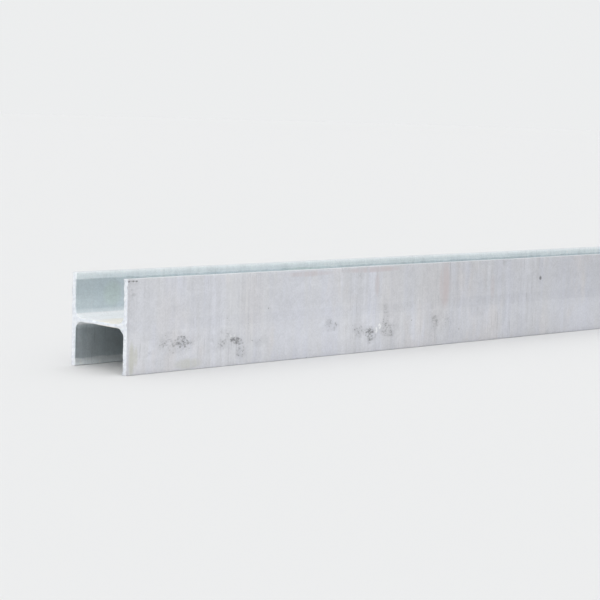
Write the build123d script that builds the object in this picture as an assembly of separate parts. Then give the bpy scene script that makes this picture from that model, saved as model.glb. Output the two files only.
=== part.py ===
from build123d import *
import os

# Wide-flange steel beam, one rolled length, lying with its web level on the toes of its two upright flanges.
# The frame is +X along the beam, +Y across it and +Z up, with the origin below its middle, at the level
# of the flange toes. All sizes are in millimetres.

# Driving dimensions
stock_length = 6000.0  # sawn length
section_depth = 114.0  # across the beam, over the outer faces of both flanges
flange_width = 120.0  # height of each upright flange, toe to toe
web_thickness = 5.0
flange_thickness = 8.0
root_radius = 12.0  # rolled fillet between the web and a flange
toe_radius = 1.5  # rolled rounding along both corners of a flange toe
end_bevel = 0.6  # sharp corner dressed off all round a sawn end


def section_outline():
    """Corners of the rolled section and the radius at each, in order round the outline.

    The outline lies across the beam: its first coordinate is across, its second is up.
    """
    outer_face = section_depth / 2
    inner_face = outer_face - flange_thickness
    web_top = (flange_width + web_thickness) / 2
    web_underside = (flange_width - web_thickness) / 2

    right_side = [
        ((inner_face, web_underside), root_radius),
        ((inner_face, 0), toe_radius),
        ((outer_face, 0), toe_radius),
        ((outer_face, flange_width), toe_radius),
        ((inner_face, flange_width), toe_radius),
        ((inner_face, web_top), root_radius),
    ]
    left_side = [((-across, up), radius) for (across, up), radius in reversed(right_side)]
    return right_side + left_side


def rolled_section():
    """The section as one face, with its root fillets and rounded toes."""
    corners = section_outline()
    points = [point for point, _ in corners]
    radii = [radius for _, radius in corners]
    with BuildSketch(Plane.YZ.offset(-stock_length / 2)) as section:
        with BuildLine():
            FilletPolyline(*points, radius=radii, close=True)
        make_face()
    return section.sketch


def rolled_beam():
    """The section run out to the stock length, with the corners of both sawn ends dressed."""
    as_sawn = extrude(rolled_section(), amount=stock_length)
    sawn_ends = as_sawn.faces().filter_by(Axis.X)
    return chamfer(sawn_ends.edges(), length=end_bevel)


beam = rolled_beam()

os.makedirs("parts", exist_ok=True)
export_step(beam, "parts/beam.step")

section_area = rolled_section().area
print(f"section area {section_area / 100:.2f} cm2")
print(f"volume {beam.volume / 1e6:.3f} dm3")
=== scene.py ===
import math
import random

import bmesh
import bpy
from mathutils import Matrix, Vector, noise


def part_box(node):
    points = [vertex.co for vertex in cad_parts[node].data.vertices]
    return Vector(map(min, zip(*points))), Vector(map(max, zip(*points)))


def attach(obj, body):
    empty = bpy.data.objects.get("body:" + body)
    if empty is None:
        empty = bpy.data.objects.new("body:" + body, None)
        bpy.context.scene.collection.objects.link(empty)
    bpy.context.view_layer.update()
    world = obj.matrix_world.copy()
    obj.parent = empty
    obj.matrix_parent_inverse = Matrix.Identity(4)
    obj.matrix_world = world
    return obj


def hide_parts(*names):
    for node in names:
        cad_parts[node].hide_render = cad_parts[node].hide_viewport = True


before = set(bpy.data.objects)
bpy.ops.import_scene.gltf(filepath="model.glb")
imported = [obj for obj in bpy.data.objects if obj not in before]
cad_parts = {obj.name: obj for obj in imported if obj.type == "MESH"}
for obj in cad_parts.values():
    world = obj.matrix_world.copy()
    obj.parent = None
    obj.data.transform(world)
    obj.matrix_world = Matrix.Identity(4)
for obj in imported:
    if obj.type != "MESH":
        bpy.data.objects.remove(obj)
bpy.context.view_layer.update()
beamLow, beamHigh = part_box("beam")
webLevel = (beamLow.z + beamHigh.z) / 2
random.seed(1818)


# small helpers for meshes

def meshObject(name, bm, materials):
    mesh = bpy.data.meshes.new(name)
    bm.to_mesh(mesh)
    bm.free()
    for material in materials:
        mesh.materials.append(material)
    piece = bpy.data.objects.new(name, mesh)
    bpy.context.collection.objects.link(piece)
    return piece


# small helpers for material nodes: each takes sockets or plain numbers and gives back a socket

def newMaterial(name):
    material = bpy.data.materials.new(name)
    material.use_nodes = True
    return material, material.node_tree, material.node_tree.nodes["Principled BSDF"]


def plug(tree, value, socket):
    if isinstance(value, bpy.types.NodeSocket):
        tree.links.new(value, socket)
    else:
        socket.default_value = value


def calc(tree, operation, first, second=0.0):
    node = tree.nodes.new("ShaderNodeMath")
    node.operation = operation
    plug(tree, first, node.inputs[0])
    plug(tree, second, node.inputs[1])
    return node.outputs[0]


def step(tree, value, low, high, toLow=0.0, toHigh=1.0):
    node = tree.nodes.new("ShaderNodeMapRange")
    node.interpolation_type = "SMOOTHSTEP"
    for name, number in (("From Min", low), ("From Max", high), ("To Min", toLow), ("To Max", toHigh)):
        node.inputs[name].default_value = number
    plug(tree, value, node.inputs["Value"])
    return node.outputs["Result"]


def centred(tree, value, amount):
    node = tree.nodes.new("ShaderNodeMapRange")  # 0..1 becomes -amount..amount
    node.inputs["To Min"].default_value, node.inputs["To Max"].default_value = -amount, amount
    plug(tree, value, node.inputs["Value"])
    return node.outputs["Result"]


def blendColor(tree, factor, first, second, mode="MIX"):
    node = tree.nodes.new("ShaderNodeMix")  # its color sockets are 6 and 7 in, and 2 out
    node.data_type, node.blend_type = "RGBA", mode
    plug(tree, factor, node.inputs[0])
    plug(tree, first, node.inputs[6])
    plug(tree, second, node.inputs[7])
    return node.outputs[2]


def stretched(tree, coords, scale, move=(0, 0, 0)):
    node = tree.nodes.new("ShaderNodeMapping")
    node.inputs["Scale"].default_value = scale
    node.inputs["Location"].default_value = move
    tree.links.new(coords, node.inputs["Vector"])
    return node.outputs["Vector"]


def cloud(tree, coords, scale=1.0, stretch=None, shift=(0, 0, 0), detail=3, roughness=0.5,
          distortion=0.0):
    if stretch:
        coords = stretched(tree, coords, stretch, shift)
    node = tree.nodes.new("ShaderNodeTexNoise")
    for name, number in (("Scale", scale), ("Detail", detail), ("Roughness", roughness),
                         ("Distortion", distortion)):
        node.inputs[name].default_value = number
    tree.links.new(coords, node.inputs["Vector"])
    return node.outputs["Fac"]


def warped(tree, coords, scale, amount, detail=3):
    node = tree.nodes.new("ShaderNodeTexNoise")  # pushes the coordinates about by up to half the amount
    node.inputs["Scale"].default_value, node.inputs["Detail"].default_value = scale, detail
    tree.links.new(coords, node.inputs["Vector"])
    push = tree.nodes.new("ShaderNodeVectorMath")
    push.operation = "MULTIPLY_ADD"
    tree.links.new(node.outputs["Color"], push.inputs[0])
    push.inputs[1].default_value = (amount, amount, amount)
    tree.links.new(coords, push.inputs[2])
    centre = tree.nodes.new("ShaderNodeVectorMath")
    centre.operation = "SUBTRACT"
    tree.links.new(push.outputs["Vector"], centre.inputs[0])
    centre.inputs[1].default_value = (amount / 2, amount / 2, amount / 2)
    return centre.outputs["Vector"]


def cells(tree, coords, scale, feature="F1"):
    node = tree.nodes.new("ShaderNodeTexVoronoi")
    node.feature = feature
    node.inputs["Scale"].default_value = scale
    tree.links.new(coords, node.inputs["Vector"])
    return node


def cellTone(tree, coords, scale):
    node = tree.nodes.new("ShaderNodeSeparateColor")  # one random number to each cell
    tree.links.new(cells(tree, coords, scale).outputs["Color"], node.inputs[0])
    return node.outputs[0]


def bumped(tree, height, strength, distance):
    node = tree.nodes.new("ShaderNodeBump")
    node.inputs["Strength"].default_value, node.inputs["Distance"].default_value = strength, distance
    tree.links.new(height, node.inputs["Height"])
    return node.outputs["Normal"]


def total(tree, values):
    result = values[0]
    for value in values[1:]:
        result = calc(tree, "ADD", result, value)
    return result


# the zinc coat over the rolled faces

zinc = {
    "neutral": (0.733, 0.738, 0.768, 1),
    "lavender": (0.729, 0.741, 0.802, 1),
    "warm": (0.757, 0.741, 0.752, 1),
    "channel": (0.710, 0.790, 0.825, 1),  # greener and bluer inside the channels
    "moss": (0.700, 0.795, 0.765, 1),  # faint green areas there
    # paler, duller zinc on the web, made paler still with painted light from above
    "web": (0.912, 0.928, 0.940, 1),
    "cream": (0.900, 0.865, 0.795, 1),  # patches on the web
    "toeHighlightBand": (0.945, 0.985, 1.000, 1),  # thicker zinc along the toes, made brighter with a painted highlight
    # painted shade: the rounded toe tips are darker, holding back the light they catch from above
    "shadedToeTip": (0.700, 0.720, 0.745, 1),
    "streaked": (0.800, 0.805, 0.815, 1),  # dried white runs
    "pink": (0.610, 0.540, 0.545, 1),
    "olive": (0.560, 0.560, 0.440, 1),
    "scuff": (0.150, 0.150, 0.155, 1),
    "fleck": (0.960, 0.970, 0.980, 1),
    "metallic": 0.74,
    "webMatte": 0.42,  # how much less metallic the dulled zinc on the web is
    "roughness": 0.38,
    "smoothest": 0.31,
    # how much each pattern lightens or darkens the coat, as a share of its brightness
    "tone": {
        "clouds": 0.060,
        "bands": 0.055,
        "runs": 0.160,
        "rolling": 0.045,
        "mottle": 0.045,
        "grain": 0.065,
        "frost": 0.036,
        "spangle": 0.022,
        "hair": 0.160,
        # painted shade on the channels' sides near the open ends
        "paintedEndShade": 0.145,
        "endLine": 0.080,
        "shadeInside": 0.30,  # painted shades are less than half as strong inside the channels
        "shadeToe": 0.20,  # and leave the bright band alone
    },
    # how fully each colour covers the one under it
    "cover": {
        "hue": 0.85,
        "warmth": 0.70,
        "channel": 0.85,
        "cream": (0.10, 0.80),  # least and most
        "toeHighlightBand": 0.85,
        "shadedToeTip": 0.80,
        "whiteRun": 0.45,
        "tintGaps": 0.55,  # what is left of a placed tint in the gaps
        "stainGaps": 0.35,  # and of a stain
        "scuff": 0.80,
    },
    # how much rougher each of these makes it
    "rougher": {
        "mottle": 0.08,
        "bands": 0.08,
        "frost": 0.03,
        "whiteRun": 0.20,
        "scuff": 0.20,
        "toeHighlightBand": -0.04,
        "web": 0.18,
    },
    # how high each of these stands, as a share of the relief's height in metres
    "relief": {
        "strength": 0.42,
        "height": 0.0005,
        "runs": 0.50,
        "bands": 0.60,
        "orangePeel": 0.25,
        "grain": 0.06,
        "pimples": 0.30,
        "scuff": -0.15,
    },
    # from where to where a pattern sets in, on its own scale of 0 to 1
    "limits": {
        "runArea": (0.34, 0.58),
        "rollingArea": (0.42, 0.58),
        "hair": (0.63, 0.74),
        "broken": (0.30, 0.60),  # the gaps that the runs leave in a placed tint
        "hue": (0.40, 0.68),
        "warmth": (0.50, 0.70),
        "green": (0.50, 0.70),
        "cream": (0.48, 0.62),
        "whiteRunPlace": (0.60, 0.70),
        "whiteRun": (0.42, 0.60),
    },
    # noise behind each pattern: turns to the metre, or along, across and up where they differ, and a shift
    # that keeps one pattern clear of the next
    "noise": {
        "toeWobble": {"scale": 45, "detail": 4, "roughness": 0.60},
        "clouds": {"scale": 4.5, "detail": 4},
        "bands": {"stretch": (30, 9, 2.6), "roughness": 0.55},
        "runs": {"stretch": (135, 45, 7), "detail": 4, "roughness": 0.60, "distortion": 0.1},
        "runArea": {"stretch": (9, 4, 5), "shift": (3, 0, 0)},
        "hairs": {"stretch": (420, 90, 22), "shift": (0, 5, 0), "detail": 2},
        "rolling": {"stretch": (1.6, 70, 95), "detail": 4, "roughness": 0.55},
        "rollingArea": {"stretch": (1.3, 2, 2), "shift": (7, 0, 1), "detail": 2},
        "mottle": {"scale": 85, "detail": 4, "roughness": 0.55},
        "grain": {"scale": 700, "roughness": 0.65},
        "hue": {"stretch": (38, 14, 5), "shift": (2, 8, 3), "detail": 4, "roughness": 0.60},
        "warmth": {"stretch": (20, 8, 8), "shift": (9, 4, 2), "roughness": 0.60},
        "green": {"stretch": (7, 7, 9), "shift": (1, 7, 5)},
        "cream": {"stretch": (11, 18, 1), "shift": (5, 1, 0)},
        "whiteRunPlace": {"scale": 6.5, "stretch": (1, 1, 0.25), "shift": (0, 2, 0), "roughness": 0.60},
        "orangePeel": {"scale": 120},
    },
    # cells of the zinc, to the metre
    "cells": {
        "frost": 480,
        "spangle": 110,
        "spangleBend": 160,
        "spangleReach": 0.006,  # in metres; the spangle's edges are bent by up to half of it
        "pimples": 95,
        "pimpleSize": (0.14, 0.02),  # from a pimple's edge to its top, as a share of its cell
    },
}

# where the coat changes over the section, in metres
zones = {
    "softEdge": 0.0004,
    "outerSkin": 0.0012,  # depth of the outer faces
    "toeHighlightBand": 0.0095,  # height of the bright band inside each toe, a painted highlight
    "toeBandEdge": 0.0012,  # half the height over which it fades
    "toeWobble": 0.0022,  # how far that edge wanders
    # depth of the painted shade on the toe tips
    "shadedToeTip": 0.0014,
    "webSkin": 0.0058,  # from the middle of the web to the low part of its fillets
    "filletSkin": 0.0084,  # and to where they have the flange's own tone
    "paintedEndShade": (0.03, 0.19),  # painted shade in the open ends of the channels: distance from an end over which the channels' sides regain their own tone
    "paintedShadeSide": (0.016, 0.046),  # distance from the middle of the web over which that painted shade gets darker
    "paintedShadeLeast": 0.35,  # share of that painted shade beside the web
    "endLine": (0.0034, 0.0060),  # thin greyer line beside a sawn end
    "plainEnd": (0.09, 0.18),  # distance from an end over which the web's random cream patches set in
    "plainFillet": (0.034, 0.043),  # distance from the middle of the beam over which they end
}

# where a mark has faded out and where it is full, as squared distances from its centre in half lengths
markFade = (1.4, 0.15)

# marks on the front flange: metres from the near end, height, half length, half height, strength
scuffMarks = [
    (0.080, 0.036, 0.036, 0.0150, 0.68),
    (0.088, 0.036, 0.014, 0.0070, 0.72),
    (0.162, 0.034, 0.032, 0.0140, 0.66),
    (0.180, 0.032, 0.0075, 0.0060, 1.00),
    (0.189, 0.019, 0.008, 0.0160, 0.74),
    (0.226, 0.028, 0.013, 0.0080, 0.50),
    (0.354, 0.042, 0.013, 0.0080, 0.78),
    (0.412, 0.032, 0.024, 0.0110, 0.64),
    (0.433, 0.025, 0.011, 0.0140, 1.10),
    (0.466, 0.029, 0.020, 0.0110, 0.76),
    (0.461, 0.052, 0.008, 0.0200, 0.62),
    (0.564, 0.034, 0.010, 0.0160, 0.72),
    (0.588, 0.032, 0.018, 0.0240, 0.50),
    (0.008, 0.1160, 0.014, 0.0030, 0.35),
    (0.038, 0.044, 0.013, 0.0060, 0.34),
    (0.036, 0.024, 0.016, 0.0035, 0.36),
]
brightMarks = [
    (0.174, 0.039, 0.006, 0.0035, 0.5),
    (0.443, 0.030, 0.0038, 0.0042, 1.0),
    (0.449, 0.035, 0.0038, 0.0045, 1.0),
    (1.290, 0.038, 0.024, 0.0020, 0.8),
]
pinkMarks = [
    (0.584, 0.088, 0.013, 0.034, 0.72),
    (0.442, 0.094, 0.005, 0.018, 0.45),
    (0.690, 0.080, 0.005, 0.020, 0.45),
    (0.310, 0.114, 0.045, 0.004, 0.45),
    (0.432, 0.115, 0.060, 0.004, 0.55),
]
oliveMarks = [
    (0.009, 0.020, 0.0050, 0.022, 0.48),
    (0.016, 0.023, 0.0030, 0.013, 0.34),
    (0.100, 0.008, 0.024, 0.007, 0.34),
]
dotMarks = [
    (0.0030, 0.1166, 0.0016, 0.0013, 0.90),
    (0.0066, 0.1170, 0.0030, 0.0007, 0.45),
    (0.0098, 0.1167, 0.0017, 0.0012, 0.85),
    (0.0126, 0.1168, 0.0024, 0.0007, 0.45),
    (0.0152, 0.1165, 0.0018, 0.0012, 0.85),
    (0.0110, 0.1000, 0.0040, 0.0022, 0.22),
    (0.0075, 0.1062, 0.0020, 0.0012, 0.18),
    (0.8020, 0.0880, 0.0032, 0.0032, 0.90),
]

# soft tints and painted shades, given in the same way, on both flanges
lavenderMarks = [
    (0.028, 0.080, 0.022, 0.040, 0.35),
    (0.138, 0.072, 0.024, 0.060, 0.60),
    (0.265, 0.058, 0.032, 0.060, 0.60),
    (0.345, 0.066, 0.034, 0.060, 0.55),
    (0.405, 0.080, 0.024, 0.055, 0.45),
    (0.665, 0.050, 0.042, 0.060, 0.60),
    (0.755, 0.066, 0.045, 0.060, 0.45),
    (0.890, 0.066, 0.070, 0.080, 0.85),
]
warmMarks = [
    (0.070, 0.066, 0.024, 0.045, 0.45),
    (0.207, 0.078, 0.022, 0.050, 0.60),
    (0.470, 0.072, 0.026, 0.060, 0.35),
    (0.562, 0.076, 0.036, 0.060, 0.50),
]
paintedShadeMarks = [
    (3.00, 0.115, 9.00, 0.070, 0.03),  # painted shade, a little darker all along the upper toe
    (3.00, 0.005, 9.00, 0.070, -0.04),  # and painted lighter along the lower one
    # broad stretches of painted shade along the beam, where its reflections darken
    (0.96, 0.095, 0.16, 0.050, 0.05),
    (1.18, 0.060, 0.80, 0.600, 0.10),
    (2.60, 0.060, 0.50, 0.600, 0.07),
    (3.60, 0.060, 0.80, 0.600, 0.12),
    (5.20, 0.060, 0.55, 0.600, 0.09),
]
mossMarks = [
    (0.060, 0.090, 0.016, 0.018, 0.90),  # on the sides of the channels
]
creamMarks = [
    (0.032, -0.016, 0.055, 0.030, 0.95),  # on the web, with the distance across instead of the height
    (0.075, -0.022, 0.050, 0.012, 0.60),
]

# how the scuffs are broken up into grey smears and dark spots, and the small stray marks between them
scuffing = {
    "bendScale": 60,
    "bend": 0.020,  # in metres; a scuff's outline is bent by up to half of it
    "stray": {"scale": 13, "stretch": (1, 1, 1.6), "shift": (6, 6, 6), "roughness": 0.60},
    "strayLimits": (0.62, 0.78),
    "strayStrength": 0.55,
    "patches": {"scale": 130, "detail": 4, "roughness": 0.65},
    "speckle": {"scale": 400, "stretch": (0.60, 1, 1), "detail": 4, "roughness": 0.70},
    "smearLimits": (0.32, 0.68),
    "smearCover": (0.08, 0.30),  # least and most
    "speckleShare": 0.65,
    "patchShare": 0.35,
    "crowding": 0.16,  # how much closer the spots stand in the middle of a scuff
    "spotLimits": (0.59, 0.80),
    "spotReach": (0.05, 0.70),  # strength of a scuff from which it has spots, and has them all
    "spotCover": 0.95,
    "dotCells": 46,
    "dotShift": (0.3, 0.1, 0.2),
    "dotSize": (0.060, 0.025),  # from a dot's edge to its core, as a share of its cell
    "emptyCells": 0.88,  # share of the cells that have no dot
    "dotCover": 0.60,
    "fleck": {"scale": 260, "roughness": 0.60},
    "fleckLimits": (0.44, 0.54),
}


def coatCloud(tree, coords, name):
    return cloud(tree, coords, **zinc["noise"][name])


def markMask(tree, x, z, marks):
    masks = []
    for along, up, halfLength, halfHeight, strength in marks:
        across = calc(tree, "MULTIPLY", calc(tree, "SUBTRACT", x, beamLow.x + along), 1 / halfLength)
        above = calc(tree, "MULTIPLY", calc(tree, "SUBTRACT", z, up), 1 / halfHeight)
        reach = calc(tree, "ADD", calc(tree, "MULTIPLY", across, across),
                     calc(tree, "MULTIPLY", above, above))
        masks.append(step(tree, reach, *markFade, 0.0, strength))
    return total(tree, masks)


def sectionZones(tree, coords):
    split = tree.nodes.new("ShaderNodeSeparateXYZ")
    tree.links.new(coords, split.inputs[0])
    x, y, z = split.outputs
    wobble = centred(tree, coatCloud(tree, coords, "toeWobble"), zones["toeWobble"])
    offCentre = calc(tree, "ABSOLUTE", y)
    offWeb = calc(tree, "ABSOLUTE", calc(tree, "SUBTRACT", z, webLevel))
    halfHeight = (beamHigh.z - beamLow.z) / 2
    outer = beamHigh.y - zones["outerSkin"]
    outside = step(tree, offCentre, outer - zones["softEdge"], outer)
    inside = calc(tree, "SUBTRACT", 1.0, outside)
    band, bandEdge = halfHeight - zones["toeHighlightBand"], zones["toeBandEdge"]
    toe = step(tree, calc(tree, "ADD", offWeb, wobble), band - bandEdge, band + bandEdge)
    tip = step(tree, offWeb, halfHeight - zones["shadedToeTip"], halfHeight - zones["softEdge"])
    web = step(tree, offWeb, zones["filletSkin"], zones["webSkin"])
    channelSide = calc(tree, "MULTIPLY", inside, calc(tree, "SUBTRACT", 1.0, web))
    fromEnd = calc(tree, "SUBTRACT", beamHigh.x, calc(tree, "ABSOLUTE", x))
    # painted shade: the channels' sides darker near the open ends, more so away from the web, and not on the
    # toe band
    nearEnd = step(tree, fromEnd, *reversed(zones["paintedEndShade"]))
    darker = calc(tree, "MULTIPLY", nearEnd,
                  step(tree, offWeb, *zones["paintedShadeSide"], zones["paintedShadeLeast"], 1.0))
    darker = calc(tree, "MULTIPLY", darker,
                  calc(tree, "SUBTRACT", channelSide, calc(tree, "MULTIPLY", toe, inside)))
    return {
        "x": x,
        "y": y,
        "z": z,
        "patchy": step(tree, fromEnd, *zones["plainEnd"]),
        "flatWeb": step(tree, offCentre, *reversed(zones["plainFillet"])),
        "front": calc(tree, "MULTIPLY", outside, calc(tree, "LESS_THAN", y, 0.0)),
        "inside": inside,
        "web": web,
        "channelSide": channelSide,
        "paintedEndShade": darker,
        "endLine": calc(tree, "MULTIPLY", step(tree, fromEnd, *reversed(zones["endLine"])), outside),
        "toeInside": calc(tree, "MULTIPLY", toe, inside),
        "tip": tip,
    }


def zincPatterns(tree, coords):
    bent = zinc["cells"]["spangleBend"], zinc["cells"]["spangleReach"]
    patterns = {
        "clouds": coatCloud(tree, coords, "clouds"),
        "bands": coatCloud(tree, coords, "bands"),
        "runs": coatCloud(tree, coords, "runs"),
        "runArea": step(tree, coatCloud(tree, coords, "runArea"), *zinc["limits"]["runArea"]),
        "hairs": coatCloud(tree, coords, "hairs"),
        "rolling": coatCloud(tree, coords, "rolling"),
        "rollingArea": step(tree, coatCloud(tree, coords, "rollingArea"), *zinc["limits"]["rollingArea"]),
        "mottle": coatCloud(tree, coords, "mottle"),
        "grain": coatCloud(tree, coords, "grain"),
        "frost": cellTone(tree, coords, zinc["cells"]["frost"]),
        "spangle": cellTone(tree, warped(tree, coords, *bent), zinc["cells"]["spangle"]),
        "hue": coatCloud(tree, coords, "hue"),
        "warmth": coatCloud(tree, coords, "warmth"),
    }
    patterns["hair"] = calc(tree, "MULTIPLY", step(tree, patterns["hairs"], *zinc["limits"]["hair"]),
                            patterns["runArea"])
    return patterns


def flangeColor(tree, zone, pattern):
    gaps = step(tree, pattern["runs"], *zinc["limits"]["broken"], zinc["cover"]["tintGaps"], 1.0)
    hue = calc(tree, "MULTIPLY", markMask(tree, zone["x"], zone["z"], lavenderMarks), gaps)
    hue = calc(tree, "MAXIMUM", hue,
               step(tree, pattern["hue"], *zinc["limits"]["hue"], 0.0, zinc["cover"]["hue"]))
    color = blendColor(tree, hue, zinc["neutral"], zinc["lavender"])
    warmth = calc(tree, "MULTIPLY", markMask(tree, zone["x"], zone["z"], warmMarks), gaps)
    warmth = calc(tree, "MAXIMUM", warmth,
                  step(tree, pattern["warmth"], *zinc["limits"]["warmth"], 0.0, zinc["cover"]["warmth"]))
    return blendColor(tree, warmth, color, zinc["warm"])


def channelColor(tree, coords, zone):
    green = step(tree, coatCloud(tree, coords, "green"), *zinc["limits"]["green"])
    green = calc(tree, "MAXIMUM", green, markMask(tree, zone["x"], zone["z"], mossMarks))
    return blendColor(tree, green, zinc["channel"], zinc["moss"])


def webColor(tree, coords, zone):
    cream = step(tree, coatCloud(tree, coords, "cream"), *zinc["limits"]["cream"], *zinc["cover"]["cream"])
    cream = calc(tree, "MAXIMUM", calc(tree, "MULTIPLY", cream, zone["patchy"]),
                 markMask(tree, zone["x"], zone["y"], creamMarks))
    return blendColor(tree, calc(tree, "MULTIPLY", cream, zone["flatWeb"]), zinc["web"], zinc["cream"])


# painted shade from the shade marks, weaker inside the channels and none on the bright band
def shade(tree, zone):
    mask = markMask(tree, zone["x"], zone["z"], paintedShadeMarks)
    weaker = calc(tree, "ADD", calc(tree, "MULTIPLY", zone["inside"], zinc["tone"]["shadeInside"]),
                  calc(tree, "MULTIPLY", zone["toeInside"], zinc["tone"]["shadeToe"]))
    return calc(tree, "MULTIPLY", mask, centred(tree, weaker, 1.0))


def zincColor(tree, coords, zone, pattern):
    color = flangeColor(tree, zone, pattern)
    sides = channelColor(tree, coords, zone)
    color = blendColor(tree, calc(tree, "MULTIPLY", zone["channelSide"], zinc["cover"]["channel"]),
                       color, sides)
    # the web's paler zinc, partly painted light from above
    web = webColor(tree, coords, zone)
    color = blendColor(tree, calc(tree, "MULTIPLY", zone["web"], zone["inside"]), color, web)
    # painted highlight: a bright band inside each toe, over thicker zinc
    color = blendColor(tree, calc(tree, "MULTIPLY", zone["toeInside"], zinc["cover"]["toeHighlightBand"]),
                       color, zinc["toeHighlightBand"])
    # painted shade on the rounded toe tips
    color = blendColor(tree, calc(tree, "MULTIPLY", zone["tip"], zinc["cover"]["shadedToeTip"]),
                       color, zinc["shadedToeTip"])
    tone = total(tree, [
        1.0,
        centred(tree, pattern["clouds"], zinc["tone"]["clouds"]),
        centred(tree, pattern["bands"], zinc["tone"]["bands"]),
        calc(tree, "MULTIPLY", centred(tree, pattern["runs"], zinc["tone"]["runs"]), pattern["runArea"]),
        calc(tree, "MULTIPLY", centred(tree, pattern["rolling"], zinc["tone"]["rolling"]),
             pattern["rollingArea"]),
        centred(tree, pattern["mottle"], zinc["tone"]["mottle"]),
        centred(tree, pattern["grain"], zinc["tone"]["grain"]),
        centred(tree, pattern["frost"], zinc["tone"]["frost"]),
        centred(tree, pattern["spangle"], zinc["tone"]["spangle"]),
        calc(tree, "MULTIPLY", pattern["hair"], -zinc["tone"]["hair"]),
        # painted shade in the channels near the ends
        calc(tree, "MULTIPLY", zone["paintedEndShade"], -zinc["tone"]["paintedEndShade"]),
        calc(tree, "MULTIPLY", zone["endLine"], -zinc["tone"]["endLine"]),
        shade(tree, zone),
    ])
    return blendColor(tree, 1.0, color, tone, "MULTIPLY")


def handlingMarks(tree, coords, zone):
    front = zone["front"]
    split = tree.nodes.new("ShaderNodeSeparateXYZ")
    tree.links.new(warped(tree, coords, scuffing["bendScale"], scuffing["bend"]), split.inputs[0])
    x, z = split.outputs[0], split.outputs[2]
    named = calc(tree, "MULTIPLY", markMask(tree, x, z, scuffMarks), front)
    stray = step(tree, cloud(tree, coords, **scuffing["stray"]), *scuffing["strayLimits"])
    density = calc(tree, "ADD", named, calc(tree, "MULTIPLY", stray, scuffing["strayStrength"]))
    patchy = cloud(tree, coords, **scuffing["patches"])
    speckle = cloud(tree, coords, **scuffing["speckle"])
    smear = calc(tree, "MULTIPLY", density,
                 step(tree, patchy, *scuffing["smearLimits"], *scuffing["smearCover"]))
    crowded = total(tree, [
        calc(tree, "MULTIPLY", speckle, scuffing["speckleShare"]),
        calc(tree, "MULTIPLY", patchy, scuffing["patchShare"]),
        calc(tree, "MULTIPLY", density, scuffing["crowding"]),
    ])
    spots = calc(tree, "MULTIPLY", step(tree, crowded, *scuffing["spotLimits"]),
                 step(tree, density, *scuffing["spotReach"]))
    dots = cells(tree, stretched(tree, coords, (1, 1, 1), scuffing["dotShift"]), scuffing["dotCells"])
    pick = tree.nodes.new("ShaderNodeSeparateColor")
    tree.links.new(dots.outputs["Color"], pick.inputs[0])
    dot = calc(tree, "MULTIPLY", step(tree, dots.outputs["Distance"], *scuffing["dotSize"]),
               calc(tree, "GREATER_THAN", pick.outputs[1], scuffing["emptyCells"]))
    flecks = step(tree, cloud(tree, coords, **scuffing["fleck"]), *scuffing["fleckLimits"])
    scraped = markMask(tree, zone["x"], zone["z"], brightMarks)
    specks = calc(tree, "MULTIPLY", markMask(tree, zone["x"], zone["z"], dotMarks), front)
    smeared = calc(tree, "MAXIMUM", smear, calc(tree, "MULTIPLY", spots, scuffing["spotCover"]))
    dotted = calc(tree, "MAXIMUM", calc(tree, "MULTIPLY", dot, scuffing["dotCover"]), specks)
    return {
        "dark": calc(tree, "MAXIMUM", smeared, dotted),
        "bright": calc(tree, "MULTIPLY", calc(tree, "MULTIPLY", scraped, front), flecks),
        "pink": calc(tree, "MULTIPLY", markMask(tree, zone["x"], zone["z"], pinkMarks), front),
        "olive": calc(tree, "MULTIPLY", markMask(tree, zone["x"], zone["z"], oliveMarks), front),
    }


def zincRoughness(tree, zone, pattern, mark, whiteRun):
    rough = total(tree, [
        zinc["roughness"],
        centred(tree, pattern["mottle"], zinc["rougher"]["mottle"]),
        centred(tree, pattern["bands"], zinc["rougher"]["bands"]),
        centred(tree, pattern["frost"], zinc["rougher"]["frost"]),
        calc(tree, "MULTIPLY", whiteRun, zinc["rougher"]["whiteRun"]),
        calc(tree, "MULTIPLY", mark["dark"], zinc["rougher"]["scuff"]),
        calc(tree, "MULTIPLY", zone["toeInside"], zinc["rougher"]["toeHighlightBand"]),
        calc(tree, "MULTIPLY", zone["web"], zinc["rougher"]["web"]),
    ])
    return calc(tree, "MAXIMUM", rough, zinc["smoothest"])


def zincRelief(tree, coords, pattern, mark):
    pimples = cells(tree, coords, zinc["cells"]["pimples"], "SMOOTH_F1")
    height = total(tree, [
        calc(tree, "MULTIPLY", pattern["runs"], zinc["relief"]["runs"]),
        calc(tree, "MULTIPLY", pattern["bands"], zinc["relief"]["bands"]),
        calc(tree, "MULTIPLY", coatCloud(tree, coords, "orangePeel"), zinc["relief"]["orangePeel"]),
        calc(tree, "MULTIPLY", pattern["grain"], zinc["relief"]["grain"]),
        calc(tree, "MULTIPLY", step(tree, pimples.outputs["Distance"], *zinc["cells"]["pimpleSize"]),
             zinc["relief"]["pimples"]),
        calc(tree, "MULTIPLY", mark["dark"], zinc["relief"]["scuff"]),
    ])
    return bumped(tree, height, zinc["relief"]["strength"], zinc["relief"]["height"])


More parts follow.
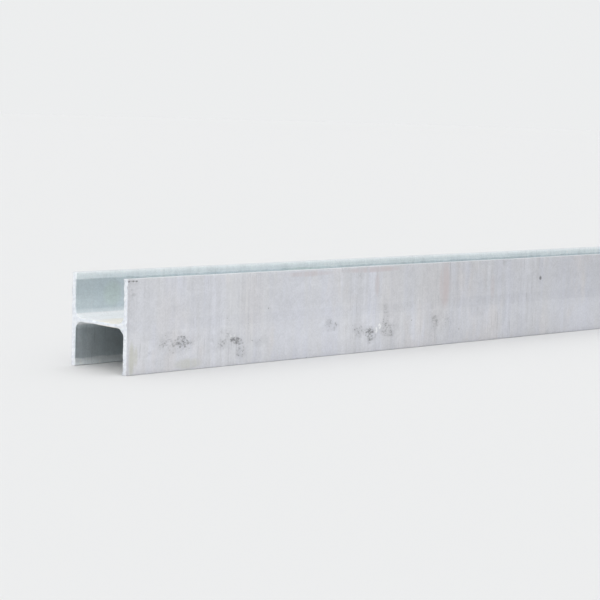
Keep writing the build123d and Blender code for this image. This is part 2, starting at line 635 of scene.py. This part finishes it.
def makeZinc():
    material, tree, shader = newMaterial("galvanisedZinc")
    coords = tree.nodes.new("ShaderNodeTexCoord").outputs["Object"]
    zone = sectionZones(tree, coords)
    pattern = zincPatterns(tree, coords)
    mark = handlingMarks(tree, coords, zone)
    color = zincColor(tree, coords, zone, pattern)

    # dried white runs in a few places
    runPlace = step(tree, coatCloud(tree, coords, "whiteRunPlace"), *zinc["limits"]["whiteRunPlace"])
    whiteRun = calc(tree, "MULTIPLY", runPlace, step(tree, pattern["runs"], *zinc["limits"]["whiteRun"]))
    color = blendColor(tree, calc(tree, "MULTIPLY", whiteRun, zinc["cover"]["whiteRun"]),
                       color, zinc["streaked"])

    # marks of handling
    gaps = step(tree, pattern["runs"], *zinc["limits"]["broken"], zinc["cover"]["stainGaps"], 1.0)
    for stain in ("pink", "olive"):
        color = blendColor(tree, calc(tree, "MULTIPLY", mark[stain], gaps), color, zinc[stain])
    color = blendColor(tree, calc(tree, "MULTIPLY", mark["dark"], zinc["cover"]["scuff"]),
                       color, zinc["scuff"])
    color = blendColor(tree, mark["bright"], color, zinc["fleck"])
    tree.links.new(color, shader.inputs["Base Color"])

    rough = zincRoughness(tree, zone, pattern, mark, whiteRun)
    tree.links.new(rough, shader.inputs["Roughness"])
    dulled = calc(tree, "MULTIPLY", zone["web"], zone["inside"])
    metal = calc(tree, "SUBTRACT", zinc["metallic"], calc(tree, "MULTIPLY", dulled, zinc["webMatte"]))
    tree.links.new(metal, shader.inputs["Metallic"])
    tree.links.new(zincRelief(tree, coords, pattern, mark), shader.inputs["Normal"])
    return material


# the zinc over the sawn ends, brighter and rougher

sawn = {
    "pale": (0.935, 0.962, 1.000, 1),
    "grey": (0.845, 0.878, 0.935, 1),
    "pit": (0.30, 0.31, 0.33, 1),
    "metallic": 0.40,
    "roughness": 0.50,
    "roughnessSpread": 0.15,
    "blotches": {"scale": 130, "detail": 4, "roughness": 0.60, "distortion": 0.6},
    "greyLimits": (0.38, 0.66),
    "lumps": {"scale": 420, "detail": 4, "roughness": 0.60},
    "lumpTone": 0.10,
    "sawScale": 620 / 6,  # of the wave texture: about 164 saw marks to the metre
    "sawSlant": 0.25,
    "sawWander": 1.6,
    "sawDetail": 2,
    "sawTone": 0.03,
    "pitCells": 210,
    "pitSize": (0.10, 0.04),  # from a pit's edge to its bottom, as a share of its cell
    "pitLimits": (0.52, 0.62),
    "bumpStrength": 0.6,
    "bumpHeight": 0.0008,
    "lumpHeight": 0.5,  # these four are shares of that height
    "blotchHeight": 0.4,
    "sawHeight": 0.08,
    "pitHeight": -0.3,
}


def sawMarks(tree, coords):
    saw = tree.nodes.new("ShaderNodeTexWave")
    saw.bands_direction = "DIAGONAL"
    for name, value in (("Scale", "sawScale"), ("Distortion", "sawWander"), ("Detail", "sawDetail")):
        saw.inputs[name].default_value = sawn[value]
    tree.links.new(stretched(tree, coords, (0, sawn["sawSlant"], 1)), saw.inputs["Vector"])
    return saw.outputs["Fac"]


def makeSawnEnd():
    material, tree, shader = newMaterial("sawnEndZinc")
    coords = tree.nodes.new("ShaderNodeTexCoord").outputs["Object"]
    blotches = cloud(tree, coords, **sawn["blotches"])
    lumps = cloud(tree, coords, **sawn["lumps"])
    saw = sawMarks(tree, coords)
    color = blendColor(tree, step(tree, blotches, *sawn["greyLimits"]), sawn["pale"], sawn["grey"])
    tone = total(tree, [1.0, centred(tree, lumps, sawn["lumpTone"]), centred(tree, saw, sawn["sawTone"])])
    color = blendColor(tree, 1.0, color, tone, "MULTIPLY")
    pits = cells(tree, coords, sawn["pitCells"])
    pitMask = calc(tree, "MULTIPLY", step(tree, pits.outputs["Distance"], *sawn["pitSize"]),
                   step(tree, blotches, *sawn["pitLimits"]))
    color = blendColor(tree, pitMask, color, sawn["pit"])
    tree.links.new(color, shader.inputs["Base Color"])
    shader.inputs["Metallic"].default_value = sawn["metallic"]
    rough = calc(tree, "ADD", sawn["roughness"], centred(tree, blotches, sawn["roughnessSpread"]))
    tree.links.new(rough, shader.inputs["Roughness"])
    height = total(tree, [
        calc(tree, "MULTIPLY", lumps, sawn["lumpHeight"]),
        calc(tree, "MULTIPLY", blotches, sawn["blotchHeight"]),
        calc(tree, "MULTIPLY", saw, sawn["sawHeight"]),
        calc(tree, "MULTIPLY", pitMask, sawn["pitHeight"]),
    ])
    normal = bumped(tree, height, sawn["bumpStrength"], sawn["bumpHeight"])
    tree.links.new(normal, shader.inputs["Normal"])
    return material


zincMaterial = makeZinc()
sawnMaterial = makeSawnEnd()
print("zinc materials made")


# the beam itself: the rolled section, and how finely its skin is cut up

section = {
    "web": 0.005,
    "flange": 0.008,
    "rootRadius": 0.012,
    "toeRadius": 0.0015,
}

skin = {
    "room": 0.0004,  # the steel lies this far inside its box, so that the zinc has room to stand proud
    "endRoom": 0.0018,  # the same at the sawn ends, where the zinc is lumpy
    "rootSegments": 8,
    "toeSegments": 3,
    "endArris": 0.0007,
    "arrisSegments": 2,
    "levelStep": 0.006,  # height of the strips on a flange
    "webStep": 0.0075,  # width of the strips on the web
    "slices": 380,  # cuts along the length
    "crowding": 0.90,  # how much closer they are at the ends
    "endCuts": 3,
    "waviness": 0.00016,
    "wavinessScale": 9,
    "toeBead": 0.00030,
    "toeBeadScale": 45,
    "endLumps": 0.0005,
    "endLumpBase": 0.35,  # share of that height that the zinc there has all over
    "endLumpScale": 190,
    "blobs": 26,  # larger lumps of zinc on each end
    "blobReach": (0.0022, 0.0048),
    "blobHeight": 0.0013,
    "blobShares": (0.5, 1.0),  # of that height, from the lowest to the highest
    "longEdge": 1,  # only the edges that run along the beam are longer than this
    "cutTolerance": 1e-6,
    "rimTolerance": 1e-5,
}


def sectionCorners(low, high):
    outer = high.y - skin["room"]
    inner = high.y - section["flange"]
    bottom, top = low.z, high.z - skin["room"]
    webTop, webUnder = webLevel + section["web"] / 2, webLevel - section["web"] / 2
    right = [(inner, webUnder), (inner, bottom), (outer, bottom), (outer, top), (inner, top), (inner, webTop)]
    return right + [(-across, up) for across, up in reversed(right)]


def isLong(edge):
    return abs(edge.verts[0].co.x - edge.verts[1].co.x) > skin["longEdge"]


def isCap(face):
    return abs(face.normal.x) > 0.9  # square to the beam's length


def roundOff(bm, edges, radius, segments):
    bmesh.ops.bevel(bm, geom=edges, offset=radius, offset_type="OFFSET", affect="EDGES",
                    segments=segments, profile=0.5, material=-1)


def rolledShape(low, high):
    bm = bmesh.new()
    nearEnd = low.x + skin["endRoom"]
    farEnd = high.x - skin["endRoom"]
    corners = [bm.verts.new((nearEnd, across, up)) for across, up in sectionCorners(low, high)]
    run = bmesh.ops.extrude_face_region(bm, geom=[bm.faces.new(corners)])
    moved = [v for v in run["geom"] if isinstance(v, bmesh.types.BMVert)]
    bmesh.ops.translate(bm, verts=moved, vec=(farEnd - nearEnd, 0, 0))
    bmesh.ops.recalc_face_normals(bm, faces=bm.faces)
    roots = [e for e in bm.edges if isLong(e) and abs(e.verts[0].co.z - webLevel) < section["web"]]
    roundOff(bm, roots, section["rootRadius"], skin["rootSegments"])
    toeLevel = (high.z - low.z) / 2 - 2 * skin["room"]
    toes = [e for e in bm.edges if isLong(e) and abs(e.verts[0].co.z - webLevel) > toeLevel]
    roundOff(bm, toes, section["toeRadius"], skin["toeSegments"])
    return bm


# the outline as points across and up, from the lowest one farthest across
def sectionRing(bm):
    cap = min(bm.faces, key=lambda f: f.calc_center_median().x)
    ring = [v.co.yz for v in cap.verts]
    start = ring.index(min(ring, key=lambda p: (round(p.y, 5), -p.x)))
    return ring[start:] + ring[:start]


def cutAcross(bm, point, normal):
    geom = bm.verts[:] + bm.edges[:] + bm.faces[:]
    bmesh.ops.bisect_plane(bm, geom=geom, dist=skin["cutTolerance"], plane_co=point, plane_no=normal)


def cutSkin(bm, low, high):
    straight = (high.z - low.z) / 2 - 2 * section["toeRadius"]
    levels = int(straight / skin["levelStep"])
    for i in range(-levels, levels + 1):
        cutAcross(bm, (0, 0, webLevel + i * skin["levelStep"]), (0, 0, 1))
    flatWeb = high.y - section["flange"] - section["rootRadius"]
    strips = int(flatWeb / skin["webStep"])
    for i in range(-strips, strips + 1):
        cutAcross(bm, (0, i * skin["webStep"], 0), (0, 1, 0))
    for side in (-1, 1):
        cutAcross(bm, (0, side * (high.y - section["flange"] / 2), 0), (0, 1, 0))
    rims = [e for e in bm.edges if e.is_manifold and not isLong(e)
            and any(isCap(f) for f in e.link_faces) and not all(isCap(f) for f in e.link_faces)]
    roundOff(bm, rims, skin["endArris"], skin["arrisSegments"])
    bmesh.ops.subdivide_edges(bm, edges=[e for e in bm.edges if isLong(e)], cuts=skin["slices"],
                              use_grid_fill=True)


def crowdSlices(bm, low, high):
    start = low.x + skin["endRoom"] + skin["endArris"]
    run = high.x - low.x - 2 * (skin["endRoom"] + skin["endArris"])
    for v in bm.verts:
        t = (v.co.x - start) / run
        if 0 < t < 1:
            v.co.x = start + run * (t - skin["crowding"] * math.sin(2 * math.pi * t) / (2 * math.pi))


def refineEnds(bm, low, high):
    rim = high.x - skin["endRoom"] - skin["rimTolerance"]

    def onEnd(face):
        return all(abs(v.co.x) > rim for v in face.verts)

    capEdges = {e for f in bm.faces if onEnd(f) for e in f.edges}
    bmesh.ops.subdivide_edges(bm, edges=list(capEdges), cuts=skin["endCuts"], use_grid_fill=True)
    for f in bm.faces:
        f.smooth = True
        f.material_index = 1 if onEnd(f) else 0


# a flat layout of the skin for baking: equal lengths of it side by side, then the two sawn ends, enlarged

layout = {
    "name": "OFBake",
    "lengths": 3,
    "gap": 0.012,
    "endScale": 2.4,
}


# how far round the outline the place nearest to a point is, and how long the whole outline is
def aroundSection(ring, point):
    nearest, found, travelled = 1.0, 0.0, 0.0
    for start, end in zip(ring, ring[1:] + ring[:1]):
        side = end - start
        share = min(max((point - start).dot(side) / side.length_squared, 0), 1)
        gap = (start + side * share - point).length
        if gap < nearest:
            nearest, found = gap, travelled + side.length * share
        travelled += side.length
    return found, travelled


def layOutSkin(bm, ring, low, high):
    uv = bm.loops.layers.uv.new(layout["name"])
    girth = aroundSection(ring, ring[0])[1]
    run = (high.x - low.x) / layout["lengths"]
    row = girth + layout["gap"]
    rise = row * layout["lengths"] + (high.z - low.z) * layout["endScale"]
    known = {}
    for f in bm.faces:
        if f.material_index == 1:
            across = 0 if f.calc_center_median().x < 0 else run / 2
            for loop in f.loops:
                right = across + (loop.vert.co.y - low.y) * layout["endScale"]
                up = row * layout["lengths"] + (loop.vert.co.z - low.z) * layout["endScale"]
                loop[uv].uv = (right / run, up / rise)
            continue
        length = min(int((f.calc_center_median().x - low.x) / run), layout["lengths"] - 1)
        around = []
        for loop in f.loops:
            key = (round(loop.vert.co.y, 6), round(loop.vert.co.z, 6))
            if key not in known:
                known[key] = aroundSection(ring, loop.vert.co.yz)[0]
            around.append(known[key])
        if max(around) - min(around) > girth / 2:
            around = [a + girth if a < girth / 2 else a for a in around]
        for loop, a in zip(f.loops, around):
            loop[uv].uv = ((loop.vert.co.x - low.x - length * run) / run, (a + length * row) / rise)


def endBlobs(bm, side, rim):
    ends = [v for v in bm.verts if v.co.x * side > rim]
    for _ in range(skin["blobs"]):
        centre = random.choice(ends).co.copy()
        reach = random.uniform(*skin["blobReach"])
        height = skin["blobHeight"] * random.uniform(*skin["blobShares"])
        for v in ends:
            fall = 1 - ((v.co.yz - centre.yz).length / reach) ** 2
            if fall > 0:
                v.co.x += side * height * fall * fall


def moulding(bm, low, high):
    bm.normal_update()
    toeLevel = (high.z - low.z) / 2 - 2 * section["toeRadius"]
    rim = high.x - skin["endRoom"] - skin["endArris"] - skin["rimTolerance"]
    moves = []
    for v in bm.verts:
        wave = noise.noise(v.co * skin["wavinessScale"]) * skin["waviness"]
        bead = lump = 0
        if v.co.z - webLevel > toeLevel:
            bead = noise.noise(v.co * skin["toeBeadScale"]) * skin["toeBead"]
        if abs(v.co.x) > rim:
            lump = (skin["endLumpBase"] + noise.noise(v.co * skin["endLumpScale"])) * skin["endLumps"]
        moves.append(v.normal * (wave + bead + lump))
    for v, move in zip(bm.verts, moves):
        v.co += move
    for side in (-1, 1):
        endBlobs(bm, side, rim)
    for v in bm.verts:
        for axis in range(3):
            v.co[axis] = min(max(v.co[axis], low[axis]), high[axis])


def makeBeam():
    bm = rolledShape(beamLow, beamHigh)
    ring = sectionRing(bm)
    cutSkin(bm, beamLow, beamHigh)
    crowdSlices(bm, beamLow, beamHigh)
    for length in range(1, layout["lengths"]):
        cutAcross(bm, (beamLow.x + (beamHigh.x - beamLow.x) * length / layout["lengths"], 0, 0), (1, 0, 0))
    refineEnds(bm, beamLow, beamHigh)
    layOutSkin(bm, ring, beamLow, beamHigh)
    moulding(bm, beamLow, beamHigh)
    print("beam faces", len(bm.faces), "triangles", sum(len(f.verts) - 2 for f in bm.faces))
    beam = meshObject("galvanised_beam", bm, [zincMaterial, sawnMaterial])
    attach(beam, "root")
    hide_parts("beam")


makeBeam()
print("beam built")


# floor, light and camera

studio = {
    "floorSize": 60,
    "floorColor": (0.835, 0.83, 0.825, 1),
    "floorRoughness": 0.9,
    "lightColor": (0.965, 0.985, 1.0, 1),
    "lightSides": 0.41,  # strength of the soft light at the horizon
    "lightTop": 0.94,  # and straight above
    "backdropColor": (0.984, 0.995, 1.0, 1),  # the pale background that the camera and the metal see
    "backdrop": 0.857,
}

# soft lamps, each like a sun: strength, degrees across, and where it shines from
lamps = {
    "keyLight": (0.84, 105, (-0.72, -0.36, 0.60)),
    "topLight": (0.30, 95, (0.05, 0.34, 0.94)),
}


def makeFloor():
    bm = bmesh.new()
    bmesh.ops.create_grid(bm, x_segments=1, y_segments=1, size=studio["floorSize"])
    material, _, shader = newMaterial("paleFloor")
    shader.inputs["Base Color"].default_value = studio["floorColor"]
    shader.inputs["Roughness"].default_value = studio["floorRoughness"]
    floor = meshObject("floor", bm, [material])


def makeLights():
    world = bpy.data.worlds.new("studio")
    bpy.context.scene.world = world
    world.use_nodes = True
    sky = world.node_tree
    background = sky.nodes["Background"]
    height = sky.nodes.new("ShaderNodeSeparateXYZ")
    sky.links.new(sky.nodes.new("ShaderNodeTexCoord").outputs["Generated"], height.inputs[0])
    light = step(sky, height.outputs[2], 0.0, 1.0, studio["lightSides"], studio["lightTop"])
    rays = sky.nodes.new("ShaderNodeLightPath").outputs
    seen = calc(sky, "MAXIMUM", rays["Is Camera Ray"],
                calc(sky, "MAXIMUM", rays["Is Glossy Ray"], rays["Is Transmission Ray"]))
    strength = calc(sky, "ADD", calc(sky, "MULTIPLY", seen, studio["backdrop"]),
                    calc(sky, "MULTIPLY", calc(sky, "SUBTRACT", 1.0, seen), light))
    color = blendColor(sky, seen, studio["lightColor"], studio["backdropColor"])
    sky.links.new(color, background.inputs["Color"])
    sky.links.new(strength, background.inputs["Strength"])
    for name, (power, across, place) in lamps.items():
        lamp = bpy.data.lights.new(name, "SUN")
        lamp.energy, lamp.angle = power, math.radians(across)
        sun = bpy.data.objects.new(name, lamp)
        sun.rotation_euler = Vector(place).to_track_quat("Z", "Y").to_euler()
        bpy.context.collection.objects.link(sun)


camera = {
    "focalPixels": 1800,  # of a picture 600 wide
    "pictureSide": 600,
    "heading": 46.16,  # degrees from the beam's length round to the line of sight
    "pitchDown": 5.90,
    "roll": 1.7,
    "endPixel": (98, 323),  # where the middle of the near end comes in the picture
    "endDepth": 2.245,  # and how far it is, along the line of sight
    "sensorWidth": 36,
    "clip": (0.01, 200),
}


def makeCamera():
    data = bpy.data.cameras.new("camera")
    eye = bpy.data.objects.new("camera", data)
    bpy.context.collection.objects.link(eye)
    data.sensor_width = camera["sensorWidth"]
    data.lens = camera["sensorWidth"] * camera["focalPixels"] / camera["pictureSide"]
    turn = (Matrix.Rotation(math.radians(camera["heading"] - 90), 3, "Z")
            @ Matrix.Rotation(math.radians(90 - camera["pitchDown"]), 3, "X")
            @ Matrix.Rotation(math.radians(camera["roll"]), 3, "Z"))
    middle = camera["pictureSide"] / 2
    across = (camera["endPixel"][0] - middle) / camera["focalPixels"]
    up = (middle - camera["endPixel"][1]) / camera["focalPixels"]
    endMiddle = Vector((beamLow.x, 0, webLevel))
    eye.rotation_euler = turn.to_euler()
    eye.location = endMiddle - turn @ (Vector((across, up, -1)) * camera["endDepth"])
    data.clip_start, data.clip_end = camera["clip"]
    bpy.context.scene.camera = eye


makeFloor()
makeLights()
makeCamera()
bpy.context.scene.view_settings.view_transform = "Standard"
print("studio ready")
